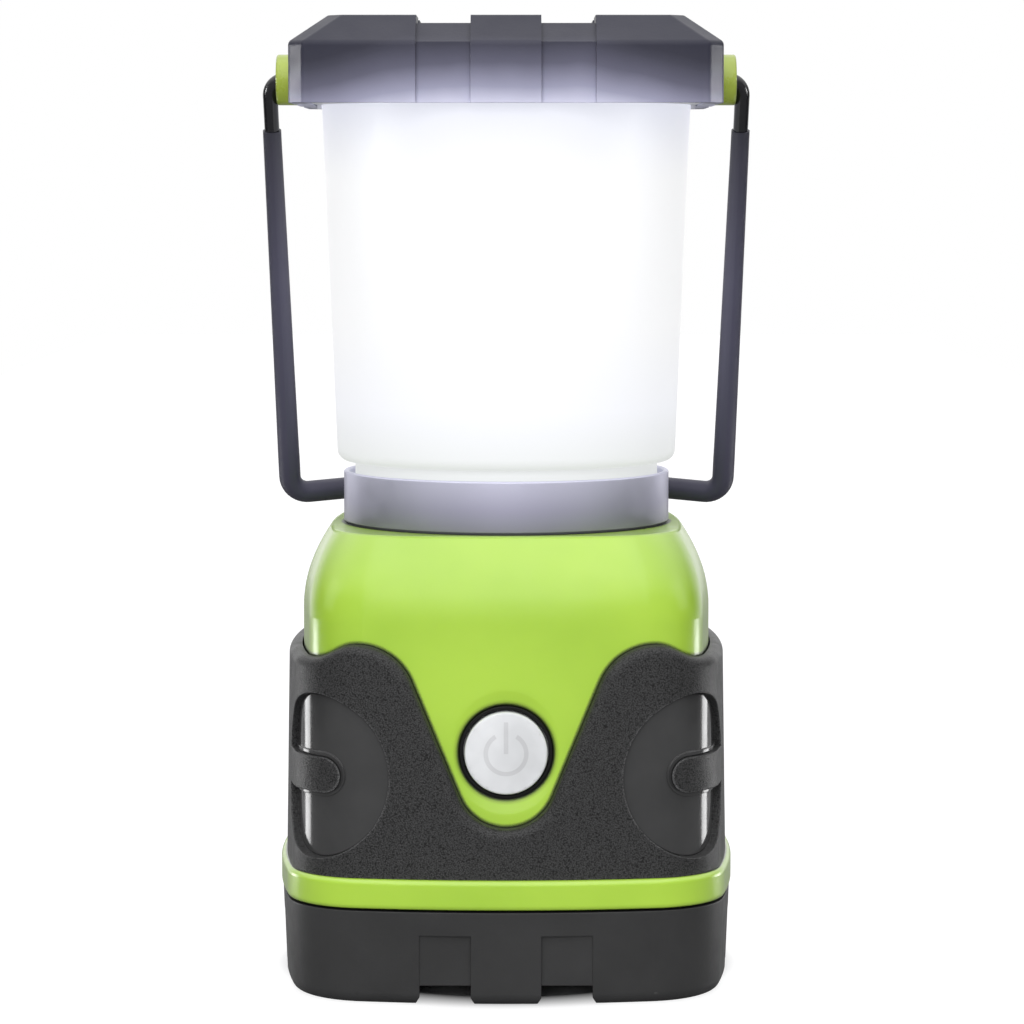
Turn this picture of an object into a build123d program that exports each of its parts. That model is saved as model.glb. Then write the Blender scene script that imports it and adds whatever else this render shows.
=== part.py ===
"""Battery camping lantern at life size, in millimetres, +Z up.

The origin is on the ground at the middle of the base. The front, with its push button,
faces -Y. The three D cells set the width and height of the body, and everything else is
stacked on it: base cup, band, body shell, collar, globe and cap.
"""
from build123d import *
import os
from math import asin, atan, cos, hypot, pi, radians, sin, sqrt, tan

os.makedirs("parts", exist_ok=True)

# ---------------------------------------------------------------- clearances
gap = 0.3                    # between pieces that move past each other, and shadow gaps
fit = 0.08                   # radial clearance of a turning fit
slip = 0.1                   # radial clearance of a fixed piece in its hole
overcut = 1.0                # cuts start and end this far outside what they cut
thirds = (90, 210, 330)      # directions of the cells, lugs and ribs

# ---------------------------------------------------------------- cells and their tray
cell_diameter = 33.4
cell_length = 61.5
cell_gap = 1.0               # between neighbouring cells
cell_cap_radius = 4.75
cell_cap_height = 1.5
cell_round = 0.8
tray_rim = 0.85              # tray plate beyond the cells
tray_plate = 1.6
tray_lid = 2.0
tray_clearance = 1.3         # tray to the inside of the body
post_radius = 2.4
post_inset = 0.4
spine_radius = 2.6
spring_height = 2.4
spring_wire = 0.7
spring_radius = 5.0
spring_turns = 2
contact_thickness = 0.5
contact_radius = 6.0
notch_for_leads = 11.0       # width of the notch for the switch leads in the tray plates

# ---------------------------------------------------------------- body shell
side_radius = 170.0          # the sides of the body bulge slightly
shell_wall = 2.0
body_corner = 13.0
shoulder_height = 16.3
shoulder_run = 5.8           # how far the shoulder draws in
shoulder_corner = 17.0       # corner radius at the top of the shoulder
shoulder_edge = 1.0
shoulder_steps = 5
band_height = 6.0
band_wall = 3.65
band_round = 1.1
bore_depth = 4.4             # bore in the band that takes the base's neck

# ---------------------------------------------------------------- bumper and corner panels
bumper_wall = 2.5
bumper_flare = 0.75          # the bumper is this much wider at its foot
bumper_round = 1.9
valley_rise = 9.6            # lowest point of the cut, above the band
valley_radius = 9.7
flank_angle = 67.5
crest_radius = 11.4
crest_rise = 44.9            # above the band
side_edge_rise = 41.8        # edge of the bumper on the sides, above the band
side_edge_inset = 5.2        # from the bumper's side to where its edge turns level
window_inset = 5.5           # centre of the corner windows, in from both sides
window_rise = 19.2           # above the band
window_radius = 16.1
panel_recess = 1.0
tongue_width = 6.8
tongue_reach = 11.5          # length of the tongue, in from the side
tongue_rise = 19.5           # above the band
tongue_border = 0.9          # raised border round the tongue, on the corner panel
border_height = 0.35

# ---------------------------------------------------------------- base cup and hook
foot_recess = 4.9            # height of the hollow under the base
base_floor = 2.0
tray_lift = 2.7              # base floor to tray
base_wall = 3.0
base_step = 0.3              # base is this much narrower than the band
base_draft = 0.7             # base is this much narrower at its foot
base_corner = 16.5
foot_round = 2.2
base_height = 18.2
neck_clearance = 1.5         # tray to the inside of the base's neck
neck_wall = 1.3
neck_height = 3.9            # above the base's top face
lug_reach = 1.2
lug_thickness = 1.2
lug_span = 36.0
notch_width = 9.9
notch_pitch = 23.5           # between the two notches of a side
notch_depth = 0.8
notch_top = 13.6
notch_mouth = 3.8            # height of the opening under the notch
notch_flare = 0.8
notch_flare_height = 1.5
hook_wire = 2.4
hook_radius = 8.0
hook_bend = 6.0
hook_bend_angle = 50.0
hook_turn = 250.0
hook_shank = 6.0
hook_x = 3.0
hook_y = 14.0                # pivot of the hook
hook_height = 2.1
barrel_radius = 1.6
barrel_length = 6.0
pin_radius = 0.8
ear_thickness = 2.0
ear_depth = 5.0

# ---------------------------------------------------------------- button and switch
button_rise = 24.2           # above the band
button_radius = 8.0
button_travel = 1.2
button_dome = 0.6
button_proud = 1.9           # top of the dome beyond the body's side
button_edge = 0.5
button_skin = 2.2
button_skirt_wall = 1.5
bezel_wall = 0.65
dish_radius = 12.0
dish_depth = 1.5
boss_wall = 2.4              # button boss round the bezel
boss_depth = 1.3             # button boss behind the body's wall
flange_reach = 0.9
flange_thickness = 1.0
stem_radius = 1.8
stem_reach = 0.7             # stem beyond the flange
plunger_radius = 1.5
plunger_length = 2.2
switch_size = 7.0
switch_depth = 3.0
switch_board_width = 20.0
switch_board_height = 22.0
board_thickness = 1.6
switch_clearance = 1.1       # pressed button's flange to the switch
board_screw_x = 8.0
board_screw_z = 8.6
board_boss_radius = 2.2
symbol_radius = 3.9
symbol_line = 0.85
symbol_gap_angle = 62.0
symbol_bar = 6.1
symbol_inlay = 1.0

# ---------------------------------------------------------------- driver and light
parts_height = 3.2           # components under the driver board
driver_space = 5.5           # driver board to the body's top plate
part_place = 11.0            # components stand at the corners of a square
choke_radius = 5.0
chip_length = 8.0
chip_width = 6.0
capacitor_radius = 2.5
driver_rim = 0.5             # driver board beyond the switch leads
standoff_inset = 4.1         # from the edge of the driver board
standoff_radius = 2.6
screw_radius = 1.1
screw_head_radius = 2.1
screw_head = 1.2
heat_sink_ledge = 3.2        # width of the heat sink's seat on the body
heat_sink_flange = 1.6
fin_count = 7
fin_thickness = 1.4
fin_pitch = 5.0
fin_clearance = 1.2          # above the driver board
fin_margin = 2.0
led_size = 2.8
led_height = 0.7
led_rings = ((7.0, 6), (13.0, 12), (19.0, 18))
lead_radius = 0.7
lead_spread = 4.0

# ---------------------------------------------------------------- collar and globe
collar_height = 10.4
collar_wall = 1.1
collar_flange = 1.7
collar_bevel = 0.5
seal_thickness = 1.0
seal_lip = 0.4               # seal beyond the inside of the neck
flange_lip = 0.7             # collar's flange beyond the seal
neck_radius = 30.4
neck_show = 2.0              # neck seen between collar and globe
globe_wall = 1.8
globe_foot_radius = 33.9
globe_top_radius = 36.8
globe_height = 70.8
globe_round = 2.2
globe_seat = 1.6             # depth of the globe in the cap plate
thread_reach = 0.9
thread_thickness = 1.4
thread_span = 40.0
thread_lead = 24.0           # rise of the globe in one turn

# ---------------------------------------------------------------- cap
seat_rim = 1.0               # cap plate beyond the globe
cap_facet = 2.8
cap_skirt = 11.5
cap_slope_run = 7.3
cap_slope_rise = 5.3
cap_wall = 1.8
cap_round = 1.2
channel_width = 10.4
channel_pitch = 23.9
channel_depth = 1.55
plate_lift = 0.2             # cap plate above the skirt's edge
plate_thickness = 2.2
plate_clearance = 0.25
cap_screw_inset = 4.9        # from the inside of the cap
cap_boss_radius = 3.0
cap_boss_height = 11.5
cap_screw_length = 9.0
reflector_radius = 29.0
reflector_depth = 12.0
reflector_wall = 1.4
reflector_rim = 2.0
reflector_foot = 3.0
saddle_length = 3.6
saddle_width = 9.0
saddle_height = 6.4
saddle_foot = 0.9            # foot of the saddle, seen below the cap plate
saddle_foot_width = 6.0
saddle_foot_drop = 0.8

# ---------------------------------------------------------------- bail
pivot_rise = 5.2             # bail axis above the skirt's edge
wire_radius = 1.5
arm_proud = 1.5              # centre of the arm beyond the knob's face
arm_draw_in = 2.15           # the arms close towards the crossbar by this much each
bar_rise = 5.0               # height of the crossbar above the body at rest
bail_bow = 6.0               # the crossbar is bent out of the arms' plane
bow_place = 20.0             # X where the bow starts
top_bend = 3.2
corner_bend = 4.0
bow_bend = 70.0
grip_start = 10.6
grip_thin = 1.85             # radius of the grip at its upper ends
grip_radius = 2.25
knob_radius = 5.05
knob_length = 4.15
knob_round = 0.5
spigot_radius = 3.0
nut_radius = 2.0
nut_thickness = 0.6
wire_end = 1.1               # wire beyond the saddle

# ---------------------------------------------------------------- worked out from the above
cell_radius = cell_diameter / 2
cell_circle = (cell_diameter + cell_gap) / sqrt(3)
tray_radius = cell_circle + cell_radius + tray_rim
cavity_half = tray_radius + tray_clearance
body_half = cavity_half + shell_wall
bumper_inner = body_half + gap
bumper_half = bumper_inner + bumper_wall
bumper_corner = body_corner + gap + bumper_wall
boss_face = cavity_half - boss_depth
pressed_flange = boss_face - gap - flange_thickness - button_travel
board_front = pressed_flange - switch_clearance - switch_depth
lead_place = board_front - board_thickness / 2
notch_reach = tray_radius - lead_place + lead_radius + 2 * gap
driver_radius = lead_place + lead_radius + driver_rim
standoff_circle = driver_radius - standoff_inset
panel_half = bumper_half - panel_recess
panel_corner = bumper_corner - panel_recess
window_place = bumper_half - window_inset
side_edge_start = bumper_half - side_edge_inset
tongue_end = bumper_half - tongue_reach

neck_inner = tray_radius + neck_clearance
neck_outer = neck_inner + neck_wall
base_bore = neck_outer + lug_reach + gap
band_half = base_bore + band_wall
base_half = band_half - base_step
foot_half = base_half - base_draft

floor_top = foot_recess + base_floor
tray_bottom = floor_top + tray_lift
spring_bottom = tray_bottom + tray_plate
cell_bottom = spring_bottom + spring_height
cell_top = cell_bottom + cell_length
lid_bottom = cell_top + contact_thickness
lid_top = lid_bottom + tray_lid
driver_bottom = lid_top + parts_height
driver_top = driver_bottom + board_thickness
plate_underside = driver_top + driver_space
body_top = plate_underside + shell_wall
shoulder_start = body_top - shoulder_height
band_bottom = base_height + gap
band_top = band_bottom + band_height
valley_height = band_top + valley_rise
crest_height = band_top + crest_rise
side_edge_height = band_top + side_edge_rise
window_height = band_top + window_rise
tongue_height = band_top + tongue_rise
button_height = band_top + button_rise

collar_top = body_top + collar_height
collar_bore = neck_radius + thread_reach + gap
collar_radius = collar_bore + collar_wall
seal_inner = neck_radius - globe_wall - seal_lip
collar_flange_inner = seal_inner - flange_lip
collar_screw_circle = (collar_flange_inner + collar_bore) / 2
heat_sink_radius = collar_flange_inner - gap
top_opening = heat_sink_radius - heat_sink_ledge
flange_top = body_top + collar_flange
seal_bottom = flange_top + gap
neck_bottom = seal_bottom + seal_thickness + gap
thread_climb = thread_lead * thread_span / 360
lug_centre = neck_bottom + thread_climb / 2 + thread_thickness / 2 + gap
rib_centre = lug_centre + thread_thickness + gap
globe_bottom = collar_top + neck_show

cap_bottom = globe_bottom + globe_height
cap_shoulder = cap_bottom + cap_skirt
cap_top = cap_shoulder + cap_slope_rise
plate_bottom = cap_bottom + plate_lift
plate_top = plate_bottom + plate_thickness
globe_top = plate_bottom + globe_seat
cap_half = globe_top_radius + seat_rim + plate_clearance + cap_wall + channel_depth
hollow_half = cap_half - channel_depth - cap_wall
cap_screw_place = hollow_half - cap_screw_inset
plate_half = hollow_half - plate_clearance
pivot_height = cap_bottom + pivot_rise
saddle_outer = plate_half - slip
saddle_inner = saddle_outer - saddle_length
wire_tip = saddle_inner - wire_end
knob_inner = cap_half + gap
knob_face = knob_inner + knob_length
arm_top = knob_face + arm_proud
arm_foot = arm_top - arm_draw_in

# At rest the crossbar leans on the back of the collar.
bail_reach = collar_radius + grip_radius + gap
bail_swing = hypot(bail_reach, pivot_height - body_top - bar_rise)
bail_length = sqrt(bail_swing**2 - bail_bow**2)
bail_tilt = asin(bail_reach / bail_swing) - atan(bail_bow / bail_length)


# ---------------------------------------------------------------- shared shapes
def square_plan(height, half, corner):
    """Level square outline with bulged sides and rounded corners."""
    inset = side_radius - half
    reach = (sqrt(2 * side_radius**2 - inset**2) - inset) / 2
    side = (Vector(-reach, -reach), Vector(0, -half), Vector(reach, -reach))
    with BuildSketch(Plane.XY.offset(height), mode=Mode.PRIVATE) as plan:
        with BuildLine():
            for turn in (0, 90, 180, 270):
                ThreePointArc(*[point.rotate(Axis.Z, turn) for point in side])
        make_face()
        fillet(plan.vertices(), radius=corner)
    return plan.sketch


def faceted_plan(height, half, facet):
    """Level square outline with its corners cut off."""
    with BuildSketch(Plane.XY.offset(height), mode=Mode.PRIVATE) as plan:
        Rectangle(2 * half, 2 * half)
        chamfer(plan.vertices(), length=facet)
    return plan.sketch


def ring_sector(angle, height, inner, outer, span, lead):
    """Part of a ring about the vertical axis, climbing like a thread of this lead."""
    climb = atan(lead / (pi * (inner + outer)))
    turn = radians(angle)
    normal = (sin(turn) * sin(climb), -cos(turn) * sin(climb), cos(climb))
    plane = Plane(origin=(0, 0, height), x_dir=(cos(turn), sin(turn), 0), z_dir=normal)
    with BuildSketch(plane, mode=Mode.PRIVATE) as sector:
        with BuildLine():
            outer_arc = CenterArc((0, 0), outer, -span / 2, span)
            inner_arc = CenterArc((0, 0), inner, -span / 2, span)
            Line(outer_arc @ 0, inner_arc @ 0)
            Line(outer_arc @ 1, inner_arc @ 1)
        make_face()
    return sector.sketch


def shoulder_half(height):
    """Half width of the body's outside at a height on the shoulder."""
    share = (height - shoulder_start) / shoulder_height
    return body_half - shoulder_run * share**2


def shoulder_sections(top, inset):
    """Outlines of the shoulder from its start up to a height, drawn in by an inset."""
    sections = []
    for step in range(shoulder_steps + 1):
        height = shoulder_start + (top - shoulder_start) * step / shoulder_steps
        share = (height - shoulder_start) / shoulder_height
        corner = body_corner + (shoulder_corner - body_corner) * share - inset
        sections.append(square_plan(height, shoulder_half(height) - inset, corner))
    return sections


def bail_point(x, along, behind):
    """Point of the bail, from its distance along the arms and behind their plane."""
    y = along * sin(bail_tilt) + behind * cos(bail_tilt)
    z = pivot_height - along * cos(bail_tilt) + behind * sin(bail_tilt)
    return Vector(x, y, z)


# ---------------------------------------------------------------- body shell
with BuildPart() as body_shell:
    extrude(square_plan(band_bottom, band_half, base_corner + base_step), amount=band_height)
    fillet(body_shell.edges().filter_by(Plane.XY), radius=band_round)
    extrude(
        square_plan(band_bottom, body_half, body_corner),
        amount=shoulder_start - band_bottom,
    )
    loft(shoulder_sections(body_top, 0))
    fillet(body_shell.faces().sort_by(Axis.Z)[-1].edges(), radius=shoulder_edge)
    # hollow for the tray and the driver
    extrude(
        square_plan(band_bottom, cavity_half, body_corner - shell_wall),
        amount=shoulder_start - band_bottom,
        mode=Mode.SUBTRACT,
    )
    loft(shoulder_sections(plate_underside, shell_wall), mode=Mode.SUBTRACT)
    # bore for the base's neck, with three inward bayonet ribs
    with BuildSketch(Plane.XY.offset(band_bottom)):
        Circle(base_bore)
    extrude(amount=bore_depth, mode=Mode.SUBTRACT)
    for angle in thirds:
        shell_rib = ring_sector(
            angle, band_bottom + gap, neck_outer + gap, base_bore + gap, lug_span, 0
        )
        extrude(shell_rib, amount=lug_thickness)
    # top plate: opening for the heat sink and holes for the collar's screws
    with BuildSketch(Plane.XY.offset(plate_underside)):
        Circle(top_opening)
        with PolarLocations(collar_screw_circle, 3):
            Circle(screw_radius + slip)
    extrude(amount=2 * shell_wall, mode=Mode.SUBTRACT)
    # standoffs that carry the driver board
    with BuildSketch(Plane.XY.offset(driver_top)):
        with PolarLocations(standoff_circle, 3, start_angle=60):
            Circle(standoff_radius)
            Circle(screw_radius, mode=Mode.SUBTRACT)
    extrude(amount=driver_space + shell_wall / 2)
    # soft dish and boss round the button, and bosses for the switch board
    dish_sphere = (dish_radius**2 + dish_depth**2) / (2 * dish_depth)
    with BuildSketch(Plane.XZ.offset(boss_face)):
        with Locations((0, button_height)):
            Circle(button_radius + gap + bezel_wall + boss_wall)
    extrude(amount=boss_depth + shell_wall / 2)
    with BuildSketch(Plane.XZ.offset(board_front)):
        with Locations((0, button_height)):
            with GridLocations(2 * board_screw_x, 2 * board_screw_z, 2, 2):
                Circle(board_boss_radius)
                Circle(screw_radius, mode=Mode.SUBTRACT)
    extrude(amount=cavity_half - board_front + shell_wall / 3)
    with Locations((0, dish_depth - body_half - dish_sphere, button_height)):
        Sphere(dish_sphere, mode=Mode.SUBTRACT)
    with BuildSketch(Plane.XZ.offset(boss_face - gap)):
        with Locations((0, button_height)):
            Circle(button_radius + gap + bezel_wall)
    extrude(amount=shell_wall + 2 * boss_depth, mode=Mode.SUBTRACT)

# ---------------------------------------------------------------- rubber bumper
# Outline of the cut above the bumper's edge: round valley, straight flank, round crest,
# then an easy curve down to the level edge of the side.
flank = radians(flank_angle)
valley_end = (
    valley_radius * sin(flank),
    valley_height + valley_radius * (1 - cos(flank)),
)
flank_rise = crest_height - crest_radius * (1 - cos(flank)) - valley_end[1]
crest_start = (valley_end[0] + flank_rise / tan(flank), valley_end[1] + flank_rise)
crest_place = crest_start[0] + crest_radius * sin(flank)
cut_top = crest_height + 10 * overcut
cut_side = bumper_half + 10 * overcut

with BuildPart() as edge_cutter:
    with BuildSketch(Plane.XZ):
        with BuildLine():
            ThreePointArc(
                (0, valley_height),
                (
                    valley_radius * sin(flank / 2),
                    valley_height + valley_radius * (1 - cos(flank / 2)),
                ),
                valley_end,
            )
            Line(valley_end, crest_start)
            ThreePointArc(
                crest_start,
                (
                    crest_place - crest_radius * sin(flank / 2),
                    crest_height - crest_radius * (1 - cos(flank / 2)),
                ),
                (crest_place, crest_height),
            )
            Spline(
                (crest_place, crest_height),
                (side_edge_start, side_edge_height),
                tangents=((1, 0), (1, 0)),
            )
            Polyline(
                (side_edge_start, side_edge_height),
                (cut_side, side_edge_height),
                (cut_side, cut_top),
                (0, cut_top),
                (0, valley_height),
            )
        make_face()
        mirror(about=Plane.YZ)
    extrude(amount=cut_side, both=True)

# Each corner window is a ball-shaped cut that spares a tongue crossing the corner.
def tongue_sketch(border):
    """Outline of the tongues of the front or back, with a border this wide."""
    with BuildSketch(Plane.XZ, mode=Mode.PRIVATE) as outline:
        for side in (-1, 1):
            inner_end = tongue_end + tongue_width / 2
            with Locations((side * (inner_end + cut_side) / 2, tongue_height)):
                Rectangle(cut_side - inner_end, tongue_width + 2 * border)
            with Locations((side * inner_end, tongue_height)):
                Circle(tongue_width / 2 + border)
    return outline.sketch


with BuildPart() as tongues:
    extrude(tongue_sketch(0), amount=cut_side, both=True)
    extrude(
        square_plan(tongue_height - tongue_width, panel_half + slip, panel_corner),
        amount=2 * tongue_width,
        mode=Mode.SUBTRACT,
    )

with BuildPart() as tongue_borders:
    extrude(tongue_sketch(tongue_border), amount=cut_side, both=True)
    extrude(tongue_sketch(slip), amount=cut_side, both=True, mode=Mode.SUBTRACT)
    extrude(
        square_plan(tongue_height - tongue_width, panel_half + border_height, panel_corner),
        amount=2 * tongue_width,
        mode=Mode.INTERSECT,
    )
    extrude(
        square_plan(tongue_height - tongue_width, bumper_inner, body_corner + gap),
        amount=2 * tongue_width,
        mode=Mode.SUBTRACT,
    )

with BuildPart() as window_cutter:
    with Locations((0, 0, window_height)):
        with GridLocations(2 * window_place, 2 * window_place, 2, 2):
            Sphere(window_radius)
    add(tongues.part, mode=Mode.SUBTRACT)

mid_plan = square_plan(0, bumper_half - bumper_wall / 2, bumper_corner - bumper_wall / 2).face()


def on_upper_rim(edge):
    """True for the outer edges that the cut leaves along the top of the bumper."""
    middle = edge @ 0.5
    run = (edge @ 1) - (edge @ 0)
    outside = not mid_plan.is_inside(Vector(middle.X, middle.Y, 0))
    return outside and middle.Z > band_top + overcut and hypot(run.X, run.Y) > panel_recess


with BuildPart() as bumper:
    loft(
        [
            square_plan(band_top, bumper_half + bumper_flare, bumper_corner),
            square_plan(crest_height + overcut, bumper_half, bumper_corner),
        ],
        ruled=True,
    )
    extrude(
        square_plan(band_top, bumper_inner, body_corner + gap),
        amount=crest_height + overcut - band_top,
        mode=Mode.SUBTRACT,
    )
    add(edge_cutter.part, mode=Mode.SUBTRACT)
    fillet(bumper.edges().filter_by(on_upper_rim), radius=bumper_round)
    add(window_cutter.part, mode=Mode.SUBTRACT)

corner_panels = {}
for end, y_side in (("front", -1), ("back", 1)):
    for hand, x_side in (("left", -1), ("right", 1)):
        with BuildPart() as panel:
            extrude(
                square_plan(window_height - window_radius, panel_half, panel_corner),
                amount=2 * window_radius,
            )
            extrude(
                square_plan(window_height - window_radius, bumper_inner, body_corner + gap),
                amount=2 * window_radius,
                mode=Mode.SUBTRACT,
            )
            add(tongue_borders.part)
            with Locations((x_side * window_place, y_side * window_place, window_height)):
                Sphere(window_radius - slip, mode=Mode.INTERSECT)
        corner_panels[f"corner_panel_{end}_{hand}"] = panel

# ---------------------------------------------------------------- base cup
with BuildPart() as base_cup:
    loft(
        [
            square_plan(0, foot_half, base_corner),
            square_plan(base_height, base_half, base_corner),
        ],
        ruled=True,
    )
    fillet(base_cup.faces().sort_by(Axis.Z)[0].edges(), radius=foot_round)
    # hollow under the floor, round well above it and pockets in the four corners
    extrude(
        square_plan(0, foot_half - base_wall, base_corner - base_wall),
        amount=foot_recess,
        mode=Mode.SUBTRACT,
    )
    with BuildSketch(Plane.XY.offset(floor_top)):
        add(square_plan(0, foot_half - base_wall, base_corner - base_wall))
        Circle(neck_outer + slip, mode=Mode.SUBTRACT)
    extrude(amount=base_height - floor_top, mode=Mode.SUBTRACT)
    with BuildSketch(Plane.XY.offset(floor_top)):
        Circle(neck_outer)
    extrude(amount=base_height + neck_height - floor_top)
    with BuildSketch(Plane.XY.offset(floor_top)):
        Circle(neck_inner)
    extrude(amount=base_height + neck_height - floor_top, mode=Mode.SUBTRACT)
    for angle in thirds:
        base_lug = ring_sector(
            angle,
            band_bottom + lug_thickness + 2 * gap,
            neck_outer - neck_wall / 2,
            neck_outer + lug_reach,
            lug_span,
            0,
        )
        extrude(base_lug, amount=lug_thickness)
    # two shallow panels on each side, each open below with a flared mouth
    for turn in (0, 90, 180, 270):
        along = (cos(radians(turn)), sin(radians(turn)), 0)
        outward = (sin(radians(turn)), -cos(radians(turn)), 0)
        side_plane = Plane(origin=(0, 0, 0), x_dir=along, z_dir=outward)
        with BuildSketch(side_plane.offset(foot_half - notch_depth)):
            for place in (-notch_pitch / 2, notch_pitch / 2):
                with Locations((place, (notch_top + notch_mouth) / 2)):
                    Rectangle(notch_width, notch_top - notch_mouth)
        extrude(amount=5 * notch_depth, mode=Mode.SUBTRACT)
        with BuildSketch(side_plane.offset(foot_half - 2 * base_wall)):
            for place in (-notch_pitch / 2, notch_pitch / 2):
                with BuildLine():
                    Polyline(
                        (place - notch_width / 2 - notch_flare, 0),
                        (place + notch_width / 2 + notch_flare, 0),
                        (place + notch_width / 2, notch_flare_height),
                        (place + notch_width / 2, notch_mouth),
                        (place - notch_width / 2, notch_mouth),
                        (place - notch_width / 2, notch_flare_height),
                        close=True,
                    )
                make_face()
        extrude(amount=4 * base_wall, mode=Mode.SUBTRACT)
    # ears that carry the pin of the hook
    ear_offset = barrel_length / 2 + gap + ear_thickness / 2
    for place in (hook_x - ear_offset, hook_x + ear_offset):
        with BuildSketch(Plane.XY.offset(hook_height - barrel_radius)):
            with Locations((place, hook_y)):
                Rectangle(ear_thickness, ear_depth)
        extrude(amount=floor_top - hook_height + barrel_radius)
    with BuildSketch(Plane.YZ.offset(hook_x)):
        with Locations((hook_y, hook_height)):
            Circle(pin_radius)
    extrude(amount=ear_offset + ear_thickness, both=True, mode=Mode.SUBTRACT)

with BuildPart() as hook_pin:
    with BuildSketch(Plane.YZ.offset(hook_x)):
        with Locations((hook_y, hook_height)):
            Circle(pin_radius)
    extrude(amount=ear_offset + ear_thickness / 2, both=True)

# ---------------------------------------------------------------- hanging hook
with BuildPart() as hanging_hook:
    with BuildLine(Plane.XY.offset(hook_height)) as hook_line:
        shank = Line((hook_x, hook_y - barrel_radius / 2), (hook_x, hook_y - hook_shank))
        bend = JernArc(start=shank @ 1, tangent=(0, -1), radius=hook_bend, arc_size=hook_bend_angle)
        JernArc(start=bend @ 1, tangent=bend % 1, radius=hook_radius, arc_size=-hook_turn)
    with BuildSketch(Plane(origin=hook_line.line @ 0, z_dir=(0, -1, 0))):
        Circle(hook_wire / 2)
    sweep(path=hook_line.line)
    with BuildSketch(Plane.YZ.offset(hook_x)):
        with Locations((hook_y, hook_height)):
            Circle(barrel_radius)
    extrude(amount=barrel_length / 2, both=True)
    with BuildSketch(Plane.YZ.offset(hook_x)):
        with Locations((hook_y, hook_height)):
            Circle(pin_radius + fit)
    extrude(amount=barrel_length, both=True, mode=Mode.SUBTRACT)

# ---------------------------------------------------------------- cells and tray
cells = {}
for number, angle in enumerate(thirds, start=1):
    cell_x = cell_circle * cos(radians(angle))
    cell_y = cell_circle * sin(radians(angle))
    cap_down = number == 2
    can_bottom = cell_bottom + (cell_cap_height if cap_down else 0)
    cap_level = cell_bottom if cap_down else cell_top - cell_cap_height
    with BuildPart() as cell:
        with BuildSketch(Plane.XY.offset(can_bottom)):
            with Locations((cell_x, cell_y)):
                Circle(cell_radius)
        extrude(amount=cell_length - cell_cap_height)
        fillet(cell.edges(), radius=cell_round)
        with BuildSketch(Plane.XY.offset(cap_level)):
            with Locations((cell_x, cell_y)):
                Circle(cell_cap_radius)
        extrude(amount=cell_cap_height)
    cells[f"cell_{number}"] = cell

with BuildPart() as battery_tray:
    with BuildSketch(Plane.XY.offset(tray_bottom)):
        Circle(tray_radius)
        with Locations((0, -tray_radius)):
            Rectangle(notch_for_leads, 2 * notch_reach, mode=Mode.SUBTRACT)
    extrude(amount=tray_plate)
    with BuildSketch(Plane.XY.offset(tray_bottom)):
        Circle(spine_radius)
        for angle in (30, 150):
            with PolarLocations(tray_radius - post_radius - post_inset, 1, start_angle=angle):
                Circle(post_radius)
    extrude(amount=lid_bottom - tray_bottom)

with BuildPart() as tray_lid_plate:
    with BuildSketch(Plane.XY.offset(lid_bottom)):
        Circle(tray_radius)
        with Locations((0, -tray_radius)):
            Rectangle(notch_for_leads, 2 * notch_reach, mode=Mode.SUBTRACT)
    extrude(amount=tray_lid)

with BuildPart() as cell_contacts:
    with BuildSketch(Plane.XY.offset(cell_top)):
        with PolarLocations(cell_circle, 3, start_angle=thirds[0]):
            Circle(contact_radius)
    extrude(amount=contact_thickness)

spring_rise = spring_height - spring_wire
with BuildPart() as cell_springs:
    for angle in thirds:
        spring_x = cell_circle * cos(radians(angle))
        spring_y = cell_circle * sin(radians(angle))
        start = (spring_x, spring_y, spring_bottom + spring_wire / 2)
        with BuildLine(Plane(origin=start)) as coil:
            Helix(pitch=spring_rise / spring_turns, height=spring_rise, radius=spring_radius)
        with BuildSketch(Plane(origin=coil.line @ 0, z_dir=coil.line % 0)):
            Circle(spring_wire / 2)
        sweep(path=coil.line, is_frenet=True)

with BuildPart() as supply_pins:
    with BuildSketch(Plane.XY.offset(lid_top)):
        with Locations((-lead_spread, 0), (lead_spread, 0)):
            Circle(plunger_radius)
    extrude(amount=parts_height)

# ---------------------------------------------------------------- driver board
with BuildPart() as driver_board:
    with BuildSketch(Plane.XY.offset(driver_bottom)):
        Circle(driver_radius)
        with PolarLocations(standoff_circle, 3, start_angle=60):
            Circle(screw_radius + slip, mode=Mode.SUBTRACT)
    extrude(amount=board_thickness)

# choke, driver chip and two capacitors hang below the board
component_height = parts_height - 2 * gap
with BuildPart() as driver_components:
    with BuildSketch(Plane.XY.offset(driver_bottom - component_height)):
        with Locations((-part_place, part_place)):
            Circle(choke_radius)
        with Locations((part_place, part_place)):
            Rectangle(chip_length, chip_width)
        with Locations((part_place, -part_place), (-part_place, -part_place)):
            Circle(capacitor_radius)
    extrude(amount=component_height)

with BuildPart() as driver_screws:
    with BuildSketch(Plane.XY.offset(driver_bottom - screw_head)):
        with PolarLocations(standoff_circle, 3, start_angle=60):
            Circle(screw_head_radius)
    extrude(amount=screw_head)
    with BuildSketch(Plane.XY.offset(driver_bottom)):
        with PolarLocations(standoff_circle, 3, start_angle=60):
            Circle(screw_radius)
    extrude(amount=board_thickness + driver_space - gap)

# ---------------------------------------------------------------- heat sink and LEDs
sink_top = body_top + heat_sink_flange
fin_bottom = driver_top + fin_clearance
fin_span = 2 * (top_opening - fin_margin)
with BuildPart() as heat_sink:
    with BuildSketch(Plane.XY.offset(body_top)):
        Circle(heat_sink_radius)
    extrude(amount=heat_sink_flange)
    with BuildSketch(Plane.XY.offset(fin_bottom)):
        with GridLocations(fin_pitch, 1, fin_count, 1):
            Rectangle(fin_thickness, fin_span)
        Circle(top_opening - gap, mode=Mode.INTERSECT)
    extrude(amount=body_top - fin_bottom)
    with BuildSketch(Plane.XY.offset(driver_top)):
        with Locations((-lead_spread, 0), (lead_spread, 0)):
            Circle(lead_radius + gap)
    extrude(amount=sink_top - driver_top, mode=Mode.SUBTRACT)

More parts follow.
